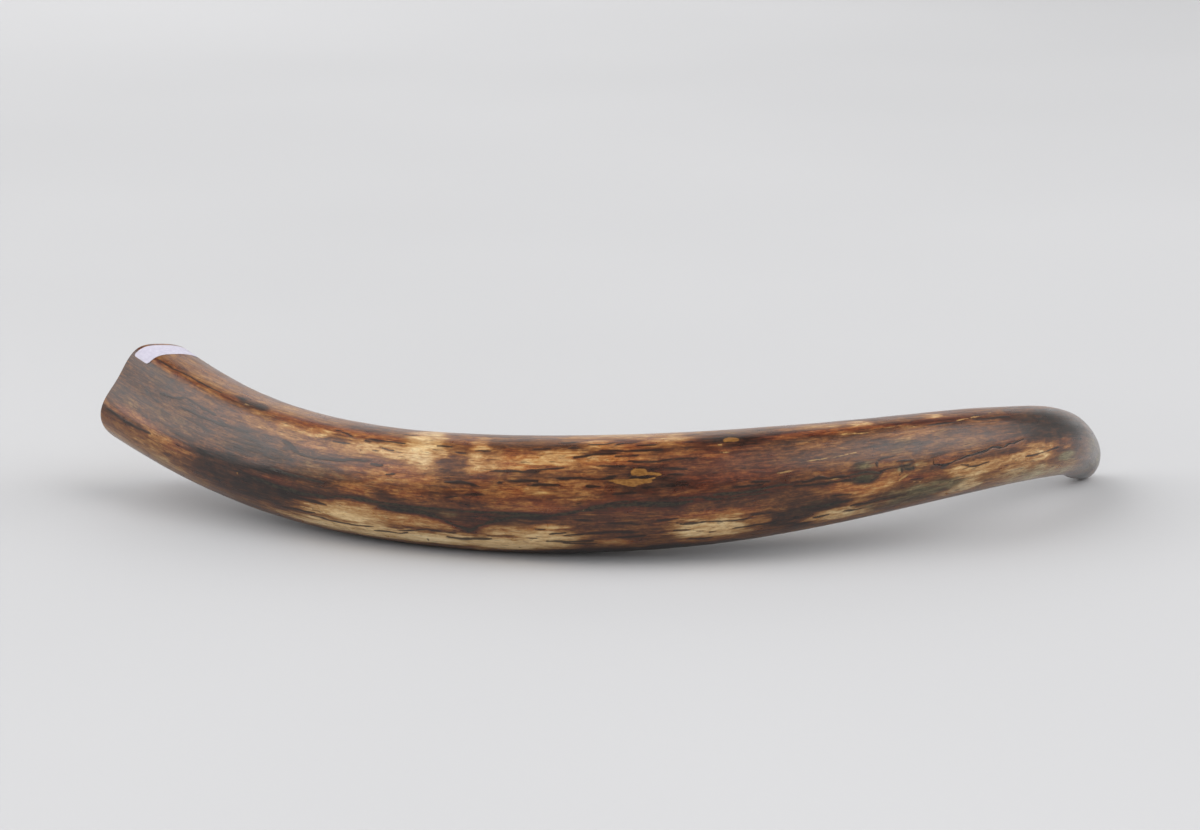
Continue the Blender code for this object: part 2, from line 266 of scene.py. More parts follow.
# Pockets and flecks of ochre filling.
OCHRES = (
    (3.8, (373.5, 36), (379, 35.5)), (1.4, (379, 34), (384, 33), (388, 32)), (0.9, (357, 28), (364, 28)),
    (3.2, (363, 27.5), (372, 26), (381, 26.5)), (1.0, (370.5, 29), (371, 31)),
    (0.9, (379, 27), (384, 29), (386, 31)), (4.6, (430, 69.5), (436, 69)), (1.1, (124, -4), (125.5, -9)),
)
# Pale flecks and short pale streaks.
PALE_FLECKS = (
    (0.8, (106, 69), (112, 69)), (0.7, (526, 64), (538, 66), (549, 62)),
    (0.9, (576, 63), (585, 65), (597, 67)), (0.7, (472, 32), (480, 33), (492, 34), (508, 36)),
    (2.2, (531, -4), (535, 2)), (1.6, (539, -9), (545, -11)), (0.7, (486, 10), (494, 10)),
    (1.2, (425, 62), (428, 62)), (1.0, (457, 24), (468, 24)), (0.7, (500, 62), (520, 60)),
    (0.9, (167, 35), (169.5, 35)), (0.8, (382, 16), (382, 18.5)), (1.0, (341, 0), (343, 1)),
    (0.8, (588, 66), (592, 68)), (0.8, (597, 68), (600, 70)), (0.8, (603, 72), (608, 74)),
    (0.8, (609, 69), (612, 68)), (0.8, (578, 64), (583, 63)), (0.9, (615, 71), (619, 73)),
    (0.9, (313, 18), (324, 17)), (0.8, (398, 3), (399, 1)), (1.0, (424, 52), (432, 52)),
    (0.8, (657, 17), (661, 17)), (0.8, (443, 11), (445, 10)),
)
# Open drying cracks: half-width, then the places that they pass through.
CRACKS = (
    (0.8, (551, 19), (554, 8), (560, 4), (569, 8)),
    (1.0, (569, 8), (575, 11), (590, 14), (596, 17), (602, 15)),
    (0.7, (602, 15), (607, 19), (612, 18), (622, 23)), (1.1, (594, 17), (601, 15)),
)
# The side turned away, whose markings are strewn by rule.
BACK_SEED = 20
BACK_SPAN = (126.0, 280.0)                # degrees
BACK_AREAS = 52
BACK_PALE_SHARE = 0.42                    # of those areas
BACK_LINES = 120
BACK_VEIN_ANGLES = (138, 171, 203, 236, 268)
BACK_VEIN_END = 700                       # mm from the cut

# How the markings are drawn.
MM_PER_DEGREE = 0.628                     # round the tusk, at its usual radius of 36 mm
PALE_FROM = 60                            # areas paler than this have crisper edges
CRISP_EDGE, SOFT_EDGE = 0.80, 1.15        # width of an area's edge, as a share of its half-size
STROKE_END = 0.55                         # width of a stroke at its ends, as a share
STROKE_TAPER = 4                          # it widens from there over so many half-widths
AWAY = -2.0                               # depth given to places well away from every stroke

# Uneven layers: strength, length (mm), height (degrees), seed.
AREA_WANDER = ((4.0, 22, 7, 1), (2.5, 8, 3, 2))                # mm, lengthwise
AREA_DRIFT = ((1.8, 30, 9, 3), (1.0, 9, 2.5, 4))               # degrees, round the tusk
AREA_FRAY = ((0.16, 11, 1.8, 14), (0.12, 5, 1.3, 15))          # share of an area's half-size
UNEVEN_TONE = ((0.07, 40, 12, 5),)
UNEVEN_WARMTH = ((0.30, 34, 14, 6),)
STROKE_WANDER = ((1.2, 6, 4, 7),)                              # mm, lengthwise
STROKE_DRIFT = ((0.9, 9, 3, 8), (0.5, 4, 2, 9))                # degrees, round the tusk
WAVES = ((0.16, 46, 24, 11), (0.10, 17, 9, 12), (0.035, 9, 3.5, 13))    # mm, in the surface

# Relief in the mesh, in millimetres.
VEIN_DEPTH = 0.10
CRACK_DEPTH = 0.45
CUT_FADE, TIP_FADE = 22, 40               # it dies out over these lengths at the two ends

# The stain of the bark: its colours from charcoal to cream, at these tones.
STAIN_TONES = (0.00, 0.12, 0.27, 0.40, 0.54, 0.68, 0.82, 1.00)
BROWNS = ("#120b08", "#22150f", "#402414", "#60391c", "#845a2f", "#a88558", "#d0b283", "#e9d6ab")
REDS = ("#140a07", "#29130b", "#4b2112", "#6b371b", "#925a2b", "#af8852", "#d3b47f", "#ead6a8")
GREYS = ("#0b0b08", "#1b1812", "#35301f", "#534c34", "#766d4f", "#9c9478", "#c6be98", "#e6ddb8")
HANDLED = (650.0, 715.0)                  # mm from the cut: the thin end's second film of wax


def spline(knots, values, at):
    """Natural cubic spline through the values at the knots."""
    gaps = np.diff(knots)
    slopes = np.diff(values) / gaps
    count = len(knots)
    system = np.eye(count)
    change = np.zeros(count)
    for i in range(1, count - 1):
        system[i, i - 1:i + 2] = gaps[i - 1], 2 * (gaps[i - 1] + gaps[i]), gaps[i]
        change[i] = 6 * (slopes[i] - slopes[i - 1])
    curving = np.linalg.solve(system, change)
    i = np.clip(np.searchsorted(knots, at) - 1, 0, count - 2)
    gap = gaps[i]
    after = at - knots[i]
    before = knots[i + 1] - at
    cubic = (curving[i] * before ** 3 + curving[i + 1] * after ** 3) / (6 * gap)
    straight = (values[i] * before + values[i + 1] * after) / gap
    return cubic + straight - gap * (curving[i] * before + curving[i + 1] * after) / 6


def centre_line():
    """Distances along the tusk, and the centre and direction at each."""
    share, heading, pitch = STATIONS[:, 0], STATIONS[:, 1], STATIONS[:, 2]
    steps = np.linspace(0, 1, CENTRE_LINE_STEPS + 1)
    turn = np.radians(spline(share, heading, steps))
    rise = np.radians(spline(share, pitch, steps))
    level = np.cos(rise)
    ahead = np.stack((level * np.cos(turn), level * np.sin(turn), np.sin(rise)), axis=-1)
    strides = (ahead[1:] + ahead[:-1]) / 2 * TUSK_LENGTH / CENTRE_LINE_STEPS
    centres = np.vstack((np.zeros(3), np.cumsum(strides, axis=0))) + SAWN_CENTRE
    return steps * TUSK_LENGTH, centres, ahead


ALONG, CENTRES, AHEAD = centre_line()


def unit(vectors):
    """The same directions, at length 1."""
    return vectors / np.linalg.norm(vectors, axis=-1, keepdims=True)


def eased(share):
    """A share from 0 to 1, made to start and end gently."""
    return share * share * (3 - 2 * share)


def look_up(table, along):
    """One row of the table (centres or directions) for each distance along the tusk."""
    return np.stack([np.interp(along, ALONG, table[:, axis]) for axis in range(3)], axis=-1)


def turned(around, from_angle):
    """The angle from one place to another, the short way round."""
    return (around - from_angle + 180) % 360 - 180


def swelling(around, angle, half_width, height):
    """A rounded rise of the cross-section, centred on an angle."""
    return height * np.exp(-(turned(around, angle) / half_width) ** 2)


def radius(along, around):
    """Distance from the centre line to the surface."""
    girth = spline(STATIONS[:, 0], STATIONS[:, 3], along / TUSK_LENGTH)
    closing = np.clip((along - TUSK_LENGTH + TIP_ROUNDING) / TIP_ROUNDING, 0, 1)
    girth = girth * np.sqrt(1 - closing ** 2)
    shape = 1 + np.clip((TUSK_LENGTH - along) / SHOULDER_FADE, 0, 1) * swelling(around, *SHOULDER)
    near_root = np.exp(-(along / ROOT_FADE) ** 2)
    for item in ROOT_SWELLINGS:
        shape = shape + near_root * swelling(around, *item)
    return girth * shape


def surface(along, around, inset=0.0):
    """Points on the tusk: along and around are arrays of metres and degrees."""
    along, around = np.broadcast_arrays(np.asarray(along, float), np.asarray(around, float))
    centre = look_up(CENTRES, along)
    ahead = unit(look_up(AHEAD, along))
    outer = unit(np.cross(ahead, (0.0, 0.0, 1.0)))
    top = np.cross(outer, ahead)
    reach = radius(along, around) - inset
    out = (reach * np.cos(np.radians(around)))[..., None]
    up = (reach * np.sin(np.radians(around)))[..., None]
    lean = np.exp(-(along / SAW_LEAN_FADE) ** 2)[..., None]
    slide = lean * (SAW_LEAN_OUTER * out + SAW_LEAN_TOP * up)
    return centre + out * outer + up * top + slide * ahead


def mottling(along, around, length, height, seed):
    """Smooth random values, -1 to 1, that vary over a length (mm) and a height (degrees)."""
    rows = max(3, round(360 / height))
    table = np.random.default_rng(seed).uniform(-1, 1, (int(TUSK_LENGTH * MM / length) + 4, rows))
    across = np.clip(along / length + 1, 0, len(table) - 2.001)
    down = (around % 360) / 360 * rows
    i, j = across.astype(int), down.astype(int) % rows
    u, v = eased(across - i), eased(down - np.floor(down))
    k = (j + 1) % rows
    near = table[i, j] * (1 - v) + table[i, k] * v
    far = table[i + 1, j] * (1 - v) + table[i + 1, k] * v
    return near * (1 - u) + far * u


def mottled(along, around, layers):
    """The sum of several layers of mottling."""
    return sum(strength * mottling(along, around, *layer) for strength, *layer in layers)


def drawn(along, around, strokes):
    """How deep each place lies in the strokes: 1 on a stroke's middle line, 0 at its edge."""
    depth = np.full(along.shape, AWAY)
    for half_width, *places in strokes:
        reach = 3 * half_width
        middle = sum(t for x, t in places) / len(places)
        path = [(x, turned(t, middle) * MM_PER_DEGREE) for x, t in places]
        first, last = min(x for x, y in path) - reach, max(x for x, y in path) + reach
        inside = (along > first) & (along < last)
        span = (max(abs(y) for x, y in path) + reach) / MM_PER_DEGREE
        inside &= np.abs(turned(around, middle)) < span
        if not inside.any():
            continue
        x, y = along[inside], turned(around[inside], middle) * MM_PER_DEGREE
        nearest = np.full(x.shape, np.inf)
        for (x0, y0), (x1, y1) in zip(path, path[1:]):
            run, rise = x1 - x0, y1 - y0
            share = np.clip(((x - x0) * run + (y - y0) * rise) / (run * run + rise * rise), 0, 1)
            nearest = np.minimum(nearest, np.hypot(x - x0 - share * run, y - y0 - share * rise))
        to_end = np.minimum(*(np.hypot(x - x0, y - y0) for x0, y0 in (path[0], path[-1])))
        widening = np.clip(to_end / (STROKE_TAPER * half_width), 0, 1)
        width = half_width * (STROKE_END + (1 - STROKE_END) * widening)
        depth[inside] = np.maximum(depth[inside], 1 - nearest / width)
    return depth


def back_markings():
    """Areas, lines and veins for the side turned away, strewn by the same rules as the front's."""
    draw = np.random.default_rng(BACK_SEED)
    areas, lines, veins = [], [], []
    for _ in range(BACK_AREAS):
        place = (draw.uniform(10, 740), draw.uniform(*BACK_SPAN))
        pale = draw.random() < BACK_PALE_SHARE
        tone = draw.uniform(52, 80) if pale else draw.uniform(12, 46)
        warmth = draw.uniform(5, 45) if pale else draw.uniform(-50, 80)
        areas.append((*place, draw.uniform(20, 62), draw.uniform(3, 8.5), tone, warmth))
    for _ in range(BACK_LINES):
        x, t = draw.uniform(6, 735), draw.uniform(*BACK_SPAN)
        run, rise = draw.uniform(6, 22), draw.uniform(-1.5, 1.5)
        half_width = draw.uniform(0.7, 1.5)
        lines.append((half_width, (x, t), (x + run / 2, t + draw.uniform(-1, 1)), (x + run, t + rise)))
    for t in BACK_VEIN_ANGLES:
        x = draw.uniform(20, 200)
        while x < BACK_VEIN_END:
            places = [(x, t + draw.uniform(-6, 6))]
            for _ in range(draw.integers(4, 9)):
                x += draw.uniform(10, 18)
                places.append((x, places[-1][1] + draw.uniform(-3.5, 3.5)))
            veins.append((draw.uniform(1.1, 2.6), *places))
            x += draw.uniform(30, 140)
    return areas, lines, veins


def markings(along, around):
    """Every marking's strength at each place, as named arrays."""
    back_areas, back_lines, back_veins = back_markings()
    x, t = along + mottled(along, around, AREA_WANDER), around + mottled(along, around, AREA_DRIFT)
    fray = mottled(along, around, AREA_FRAY)
    tone = PLAIN_TONE / 100 + mottled(along, around, UNEVEN_TONE)
    warmth = PLAIN_WARMTH / 100 + mottled(along, around, UNEVEN_WARMTH)
    for place, angle, length, height, to_tone, to_warmth in (*back_areas, *AREAS):
        away = np.sqrt(((x - place) / length) ** 2 + (turned(t, angle) / height) ** 2)
        edge = CRISP_EDGE if to_tone > PALE_FROM else SOFT_EDGE
        # Long low areas fray fully; ones that stand across the fibres hardly do.
        slender = np.clip(length / (2.5 * height * MM_PER_DEGREE), 0.15, 1)
        cover = eased(np.clip((1.0 - away + fray * slender) / edge + 0.5, 0, 1))
        tone = tone + cover * (to_tone / 100 - tone)
        warmth = warmth + cover * (to_warmth / 100 - warmth)
    x, t = along + mottled(along, around, STROKE_WANDER), around + mottled(along, around, STROKE_DRIFT)
    return {
        "tone": tone,
        "warmth": warmth,
        "line": drawn(x, t, (*DARK_LINES, *back_lines)),
        "vein": drawn(x, t, (*VEINS, *back_veins)),
        "ochre": drawn(x, t, OCHRES),
        "fleck": drawn(x, t, PALE_FLECKS),
        "crack": drawn(x, t, CRACKS),
    }


def relief(along, around, marks):
    """How far the surface sinks below the plain form, in metres: soft waves, veins and cracks."""
    waves = mottled(along, around, WAVES)
    veins = VEIN_DEPTH * np.clip(marks["vein"] * 2, 0, 1)
    cracks = CRACK_DEPTH * np.clip(marks["crack"] * 1.5, 0, 1)
    ends = np.clip(along / CUT_FADE, 0, 1) * np.clip((TUSK_LENGTH * MM - along) / TIP_FADE, 0, 1)
    return (waves + (veins + cracks)) * ends / MM


def colour(code):
    """Linear RGBA from an sRGB hex value."""
    parts = [int(code[i:i + 2], 16) / 255 for i in (1, 3, 5)]
    return (*(p / 12.92 if p <= 0.04045 else ((p + 0.055) / 1.055) ** 2.4 for p in parts), 1.0)


def feed(tree, node, inputs):
    """Gives a node its inputs, by name or, in a tuple, by order.

    Each is a value, a socket, or another node, which stands for its first output.
    """
    for socket, value in (inputs.items() if isinstance(inputs, dict) else enumerate(inputs)):
        if isinstance(value, bpy.types.Node):
            value = next(out for out in value.outputs if out.enabled)
        if isinstance(value, bpy.types.NodeSocket):
            tree.links.new(value, node.inputs[socket])
        else:
            node.inputs[socket].default_value = value


def add(tree, kind, inputs=(), stops=(), **settings):
    """Adds a shader node with its settings and links. Stops are a ramp's places and colours."""
    made = tree.nodes.new("ShaderNode" + kind)
    for name, value in settings.items():
        setattr(made, name, value)
    feed(tree, made, inputs)
    for number, (place, code) in enumerate(stops):
        elements = made.color_ramp.elements
        element = elements[number] if number < 2 else elements.new(place)
        element.position = place
        element.color = colour(code)
    return made


FACTOR, SHADE_A, SHADE_B = 0, 6, 7        # sockets of a Mix node that mixes colours
SMOOTH = {"interpolation_type": "SMOOTHSTEP"}
USUAL = (0.3, 0.7)                        # most of a noise's values lie between these


def new_material(name):
    """An empty node material: its tree, its Principled shader and itself."""
    made = bpy.data.materials.new(name)
    made.use_nodes = True
    return made.node_tree, made.node_tree.nodes["Principled BSDF"], made


def polished_bark():
    """Fossil ivory with its bark, ground and polished by hand, then waxed.

    Minerals have stained the bark charcoal, red-brown and honey, and where the polish went
    deeper the cream ivory shows. The stain follows the fibres, so it runs in fine lengthwise
    streaks. The eye sees a soft satin gloss over a deep, streaky brown.
    """
    tree, shader, made = new_material("polished fossil ivory bark")
    place = add(tree, "Attribute", attribute_name="straightened")   # millimetres
    marks = {name: add(tree, "Attribute", attribute_name=name).outputs["Fac"]
             for name in ("tone", "warmth", "line", "vein", "ochre", "fleck", "crack")}

    grain = []
    for length, height, detail, roughness, distortion in (
            # millimetres along and round the tusk, then the noise's settings
            (24.0, 2.4, 5.0, 0.60, 0.6),      # bundles of fibres
            (9.0, 0.7, 3.0, 0.60, 0.0),       # single fibres, drawn twice as coarse to show
            (15.0, 8.0, 4.0, 0.60, 0.6),      # uneven stain
            (2.6, 1.2, 2.0, 0.60, 0.0),       # pores in the ivory
            (8.0, 0.9, 2.0, 0.50, 0.0),       # short dark slits along the fibres
            (7.0, 3.2, 5.0, 0.58, 1.0),       # small cloudy stains
            (24.0, 4.2, 3.0, 0.55, 0.9)):     # its level lines are hair-thin seams
        stretched = add(tree, "Mapping", {"Vector": place.outputs["Vector"],
                                          "Scale": (1 / length, 1 / height, 1 / height)})
        grain.append(add(tree, "TexNoise", {"Vector": stretched, "Scale": 1.0, "Detail": detail,
                                            "Roughness": roughness, "Distortion": distortion}))
    streaks, fibres, blotches, speckle, dashes, clouds, seams = grain

    # Drawn marks, their edges frayed by the grain.
    shown = {}
    for name, by, inward, outward, start, full, strength in (
            ("line", fibres, -0.35, 0.25, -0.15, 0.40, 0.90),
            ("vein", clouds, -0.45, 0.25, 0.05, 0.55, 0.88),
            ("ochre", clouds, -0.14, 0.10, 0.00, 0.35, 1.00),
            ("fleck", clouds, -0.50, 0.10, 0.00, 0.70, 0.55),
            ("crack", speckle, -0.20, 0.10, 0.10, 0.50, 1.00)):
        frayed = add(tree, "MapRange", (by, *USUAL, inward, outward), **SMOOTH)
        frayed = add(tree, "Math", (marks[name], frayed))
        shown[name] = add(tree, "MapRange", (frayed, start, full, 0.0, strength), **SMOOTH)

    # Tone: the drawn areas, broken up by the grain and darker beside veins and lines. Some areas also hold
    # painted shade on the underside and a painted grey sheen on the thin end.
    change_here = add(tree, "MapRange", (marks["tone"], 0.5, 0.85, 1.0, 0.65), **SMOOTH)   # less if pale
    tone = marks["tone"]
    for by, low, high, change in ((streaks, 0.28, 0.72, 0.085), (fibres, *USUAL, 0.045),
                                  (blotches, *USUAL, 0.07), (clouds, 0.34, 0.66, 0.05),
                                  (speckle, *USUAL, 0.03)):
        broken = add(tree, "MapRange", (by, low, high, -change, change), **SMOOTH)
        tone = add(tree, "Math", (broken, change_here, tone), operation="MULTIPLY_ADD")
    near_vein = add(tree, "MapRange", (marks["vein"], -1.6, 0.0), **SMOOTH)
    near_line = add(tree, "MapRange", (marks["line"], -1.0, 0.0), **SMOOTH)
    kept = add(tree, "MapRange", (near_vein, 0.0, 1.0, 1.0, 0.68))
    tone = add(tree, "Math", (tone, kept), operation="MULTIPLY")
    tone = add(tree, "Math", (near_line, -0.06, tone), operation="MULTIPLY_ADD")
    browns, reds, greys = (add(tree, "ValToRGB", (tone,), stops=zip(STAIN_TONES, shades))
                           for shades in (BROWNS, REDS, GREYS))
    uneven = add(tree, "MapRange", (blotches, *USUAL, 0.25, -0.25), **SMOOTH)
    heat = add(tree, "Math", (marks["warmth"], uneven))
    heat = add(tree, "Math", (near_vein, 0.35, heat), operation="MULTIPLY_ADD")
    redness = add(tree, "MapRange", (heat, 0.0, 1.0), **SMOOTH)
    greyness = add(tree, "MapRange", (heat, 0.0, -1.0), **SMOOTH)
    stain = add(tree, "Mix", {FACTOR: redness, SHADE_A: browns, SHADE_B: reds}, data_type="RGBA")
    stain = add(tree, "Mix", {FACTOR: greyness, SHADE_A: stain, SHADE_B: greys}, data_type="RGBA")

    # Seams and slits in the bark.
    off_level = add(tree, "Math", (seams, 0.5), operation="SUBTRACT")
    off_level = add(tree, "Math", (off_level,), operation="ABSOLUTE")
    seam = add(tree, "MapRange", (off_level, 0.012, 0.002), **SMOOTH)
    patchy = add(tree, "MapRange", (clouds, 0.47, 0.60, 0.0, 0.62), **SMOOTH)
    seam = add(tree, "Math", (seam, patchy), operation="MULTIPLY")
    slits = add(tree, "MapRange", (dashes, 0.61, 0.69, 0.0, 0.60), **SMOOTH)

    # Veins are charcoal with a grey-green bloom; the ochre filling is earthy and uneven.
    speckled = add(tree, "MapRange", (speckle, 0.35, 0.65), **SMOOTH)
    bloom, filling = (
        add(tree, "Mix", {FACTOR: speckled, SHADE_A: colour(dark), SHADE_B: colour(pale)}, data_type="RGBA")
        for dark, pale in (("#14110e", "#2f2a1d"), ("#684319", "#7f5727")))
    for amount, shade in ((seam, colour("#24150d")), (slits, colour("#2a170e")),
                          (shown["line"], colour("#1d110b")), (shown["vein"], bloom),
                          (shown["ochre"], filling), (shown["fleck"], colour("#b39259")),
                          (shown["crack"], colour("#140c08"))):
        stain = add(tree, "Mix", {FACTOR: amount, SHADE_A: stain, SHADE_B: shade}, data_type="RGBA")

    # Wax polish: satin, duller where the stain is soft and open.
    wax = add(tree, "MapRange", (blotches, *USUAL, 0.27, 0.36), **SMOOTH)
    for name in ("vein", "crack"):
        wax = add(tree, "Math", (shown[name], 0.14, wax), operation="MULTIPLY_ADD")
    # The thin end has been handled and waxed most: a second, smoother film lies on it.
    parts = add(tree, "SeparateXYZ", (place.outputs["Vector"],))
    handled = add(tree, "MapRange", (parts.outputs["X"], *HANDLED, 0.0, 0.55), **SMOOTH)

    # Height in millimetres: fibres stand a few hundredths proud, slits and lines are sunk.
    height = add(tree, "MapRange", (fibres, *USUAL, -0.006, 0.006), **SMOOTH)
    bundles = add(tree, "MapRange", (streaks, *USUAL, -0.02, 0.02), **SMOOTH)
    height = add(tree, "Math", (height, bundles))
    for amount, depth in ((slits, 0.05), (shown["line"], 0.06), (shown["vein"], 0.05),
                          (shown["crack"], 0.35)):
        height = add(tree, "Math", (amount, -depth, height), operation="MULTIPLY_ADD")
    bump = add(tree, "Bump", {"Height": height, "Distance": 0.001, "Strength": 1.0})
    feed(tree, shader, {"Base Color": stain, "Roughness": wax, "IOR": 1.50, "Metallic": 0.0,
                        "Coat Weight": handled, "Coat Roughness": 0.22, "Coat IOR": 1.50,
                        "Normal": bump})
    return made


def sawn_ivory():
    """Fossil ivory sawn across and sanded, without wax.

    A dark stained bark surrounds honey and cream ivory, with growth rings about 2 mm apart and
    the crossed lines that mammoth ivory shows near its bark. The eye sees a duller, finely
    scratched face.
    """
    tree, shader, made = new_material("sawn fossil ivory")
    place = add(tree, "Attribute", attribute_name="on_cut").outputs["Vector"]      # millimetres
    inward = add(tree, "Attribute", attribute_name="depth").outputs["Fac"]         # mm in from the rim
    blotches = add(tree, "TexNoise", {"Vector": place, "Scale": 0.11, "Detail": 4.0, "Roughness": 0.6})
    specks = add(tree, "TexNoise", {"Vector": place, "Scale": 1.3, "Detail": 3.0, "Roughness": 0.6})
    wobble = add(tree, "MapRange", (blotches, *USUAL, -1.6, 1.6), **SMOOTH)
    ring_at = add(tree, "Math", (inward, wobble))

    # Tone: darker towards the rim, with rings and a little unevenness.
    tone = add(tree, "MapRange", (inward, 1.0, 15.0, 0.34, 0.66), **SMOOTH)
    for spacing, strength in GROWTH_RINGS:
        wave = add(tree, "Math", (ring_at, 2 * math.pi / spacing), operation="MULTIPLY")
        wave = add(tree, "Math", (wave,), operation="SINE")
        tone = add(tree, "Math", (wave, strength, tone), operation="MULTIPLY_ADD")
    for by, change in ((blotches, 0.09), (specks, 0.03)):
        uneven = add(tree, "MapRange", (by, *USUAL, -change, change), **SMOOTH)
        tone = add(tree, "Math", (tone, uneven))

    # Crossed lines: two sets of slanting waves, strongest near the bark.
    parts = add(tree, "SeparateXYZ", (place,))
    bearing = add(tree, "Math", (parts.outputs["Y"], parts.outputs["X"]), operation="ARCTAN2")
    crossed = add(tree, "MapRange", (inward, 20.0, 3.0, 0.0, 0.10), **SMOOTH)
    for slant in (2.0, -2.0):
        wave = add(tree, "Math", (bearing, CROSSED_LINES), operation="MULTIPLY")
        wave = add(tree, "Math", (inward, slant, wave), operation="MULTIPLY_ADD")
        wave = add(tree, "Math", (wave,), operation="SINE")
        crossed = add(tree, "Math", (crossed, wave), operation="MULTIPLY")
    tone = add(tree, "Math", (tone, crossed))
    face = add(tree, "ValToRGB", (tone,), stops=(
        (0.00, "#2a180e"), (0.25, "#6a4424"), (0.45, "#a1784a"), (0.65, "#c3a679"), (1.00, "#e2d2ae")))

    # The bark's rim, and fine drying cracks that run in from it.
    speckled = add(tree, "MapRange", (specks, *USUAL), **SMOOTH)
    stained = add(tree, "Mix", {FACTOR: speckled, SHADE_A: colour("#24130b"), SHADE_B: colour("#523019")},
                  data_type="RGBA")
    uneven = add(tree, "MapRange", (specks, *USUAL, -0.7, 0.7), **SMOOTH)
    uneven = add(tree, "Math", (inward, uneven))
    bark = add(tree, "MapRange", (uneven, *BARK_EDGE), **SMOOTH)
    ray = add(tree, "Math", (bearing, DRYING_CRACKS / 2, wobble), operation="MULTIPLY_ADD")
    ray = add(tree, "Math", (ray,), operation="SINE")
    ray = add(tree, "Math", (ray,), operation="ABSOLUTE")
    dry = add(tree, "MapRange", (ray, 0.022, 0.006), **SMOOTH)
    near_bark = add(tree, "MapRange", (inward, 13.0, 5.0), **SMOOTH)
    dry = add(tree, "Math", (dry, near_bark), operation="MULTIPLY")
    for amount, shade in ((bark, stained), (dry, colour("#1c100a"))):
        face = add(tree, "Mix", {FACTOR: amount, SHADE_A: face, SHADE_B: shade}, data_type="RGBA")
    dull = add(tree, "MapRange", (specks, *USUAL, 0.42, 0.58), **SMOOTH)

    # Saw and sanding marks: shallow parallel scratches, drawn 0.7 mm apart so that they show.
    stretched = add(tree, "Mapping", {"Vector": place, "Rotation": (0.0, 0.0, 0.5),
                                      "Scale": (0.05, 1.4, 1.0)})
    scratches = add(tree, "TexNoise", {"Vector": stretched, "Scale": 1.0, "Detail": 2.0})
    height = add(tree, "MapRange", (scratches, *USUAL, -0.02, 0.02), **SMOOTH)
    height = add(tree, "Math", (dry, -0.2, height), operation="MULTIPLY_ADD")
    bump = add(tree, "Bump", {"Height": height, "Distance": 0.001, "Strength": 1.0})
    feed(tree, shader, {"Base Color": face, "Roughness": dull, "IOR": 1.54, "Normal": bump})
    return made


def label_paper():
    """Uncoated label paper, machine made and pale lavender white.

    Its fibres give a faint cloudiness and no gloss. The edges are slightly rubbed and greyed.
    """
    tree, shader, made = new_material("label paper")
    place = add(tree, "Attribute", attribute_name="on_label").outputs["Vector"]    # millimetres
    cloud = add(tree, "TexNoise", {"Vector": place, "Scale": 0.35, "Detail": 4.0, "Roughness": 0.6})
    fibre = add(tree, "TexNoise", {"Vector": place, "Scale": 2.4, "Detail": 3.0, "Roughness": 0.6})
    tint = add(tree, "ValToRGB", (cloud,), stops=((0.30, "#a7a3b2"), (0.55, "#b2aebc"), (0.75, "#bab7c3")))
    # Z of this attribute is the distance in from the paper's edge.
    parts = add(tree, "SeparateXYZ", (place,))
    rubbed = add(tree, "MapRange", (parts.outputs["Z"], 0.7, 0.1, 0.0, 0.5), **SMOOTH)
    face = add(tree, "Mix", {FACTOR: rubbed, SHADE_A: tint, SHADE_B: colour("#a59c9c")}, data_type="RGBA")
    dry = add(tree, "MapRange", (fibre, 0.0, 1.0, 0.55, 0.75))
    bump = add(tree, "Bump", {"Height": fibre, "Distance": 0.00003, "Strength": 1.0})
    feed(tree, shader, {"Base Color": face, "Roughness": dry, "IOR": 1.5, "Normal": bump})
    return made


def studio_card():
    """Matt grey-white card, slightly cloudy: the sweep that the tusk lies on."""
    tree, shader, made = new_material("matt studio card")
    place = add(tree, "TexCoord")
    cloud = add(tree, "TexNoise", {"Vector": place.outputs["Object"], "Scale": 1.1, "Detail": 2.0})
    tint = add(tree, "ValToRGB", (cloud,), stops=zip(USUAL, CARD_SHADES))
    feed(tree, shader, {"Base Color": tint, "Roughness": 0.80, "Specular IOR Level": 0.40, "IOR": 1.4})
    return made


def put(name, data):
    """Puts a mesh, light or camera into the scene."""
    made = bpy.data.objects.new(name, data)
    bpy.context.scene.collection.objects.link(made)
    return made


def make_object(name, points, faces, materials, face_materials=None):
    """A smooth-shaded mesh object from its points and faces."""
    mesh = bpy.data.meshes.new(name)
    mesh.from_pydata(points.tolist(), [], faces)
    for item in materials:
        mesh.materials.append(item)
    if face_materials is not None:
        mesh.polygons.foreach_set("material_index", face_materials)
    mesh.shade_smooth()
    return put(name, mesh)


def set_values(made, name, values):
    """Stores one number, or three, for each point of the mesh."""
    values = np.asarray(values, dtype=np.float32)
    kind, field = ("FLOAT", "value") if values.ndim == 1 else ("FLOAT_VECTOR", "vector")
    layer = made.data.attributes.new(name, kind, "POINT")
    layer.data.foreach_set(field, values.ravel())


def closed_rings(start, end, here, beside):
    """Faces between the rings of points from start to end, closed by the point at end."""
    faces = []
    for a in range(start, end - len(here), len(here)):
        b = a + len(here)
        faces += np.stack((a + here, a + beside, b + beside, b + here), axis=1).tolist()
    last = end - len(here)
    return faces + np.stack((last + here, last + beside, np.full(len(here), end)), axis=1).tolist()


